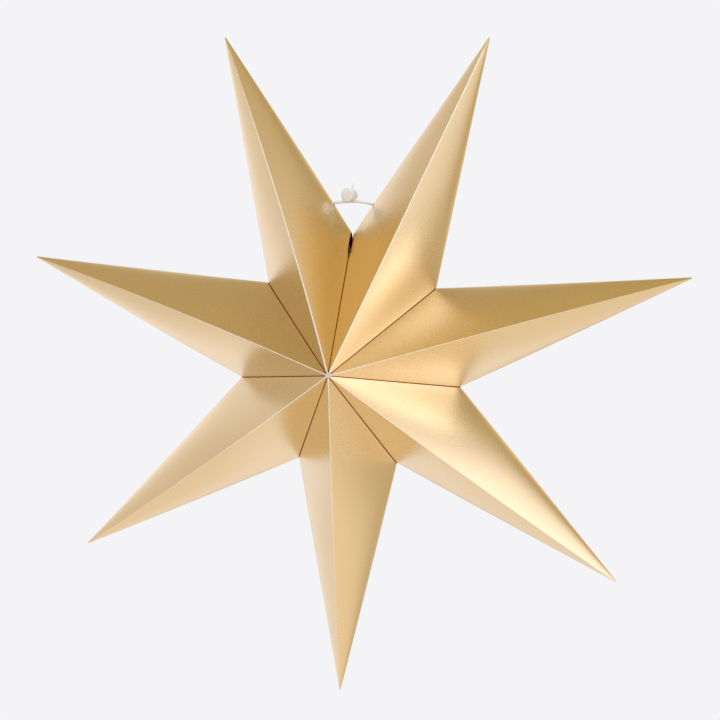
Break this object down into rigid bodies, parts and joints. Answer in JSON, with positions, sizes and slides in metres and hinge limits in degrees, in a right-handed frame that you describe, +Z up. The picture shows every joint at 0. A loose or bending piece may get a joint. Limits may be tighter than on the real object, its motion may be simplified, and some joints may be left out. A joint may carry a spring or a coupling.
{
  "type": "folded paper star",
  "caption": "Hanging star of folded gold foil card: deep hollow points with creased ridges and soft side edges, glued at inner flanges, drawn together at the top by a moulded loop.",
  "frame": {"origin": "Underside of the middle of the loop fastener's strand, in the star's middle plane, where the star hangs.", "axes": "+Z is up as the star hangs, from the star's centre through the closing seam. The star's own axis lies along Y, and the front looks to -Y. +X is to the right, seen from the front."},
  "size_m": [0.2894, 0.1058, 0.2892],
  "materials": {
    "foil_card": "satin gold foil on card",
    "nylon": "natural translucent nylon"
  },
  "bodies": {
    "root": {"point_top_right": "foil_card", "point_right": "foil_card", "point_lower_right": "foil_card", "point_bottom": "foil_card", "point_lower_left": "foil_card", "point_left": "foil_card", "point_top_left": "foil_card", "loop_fastener": "nylon"}
  },
  "joints": []
}
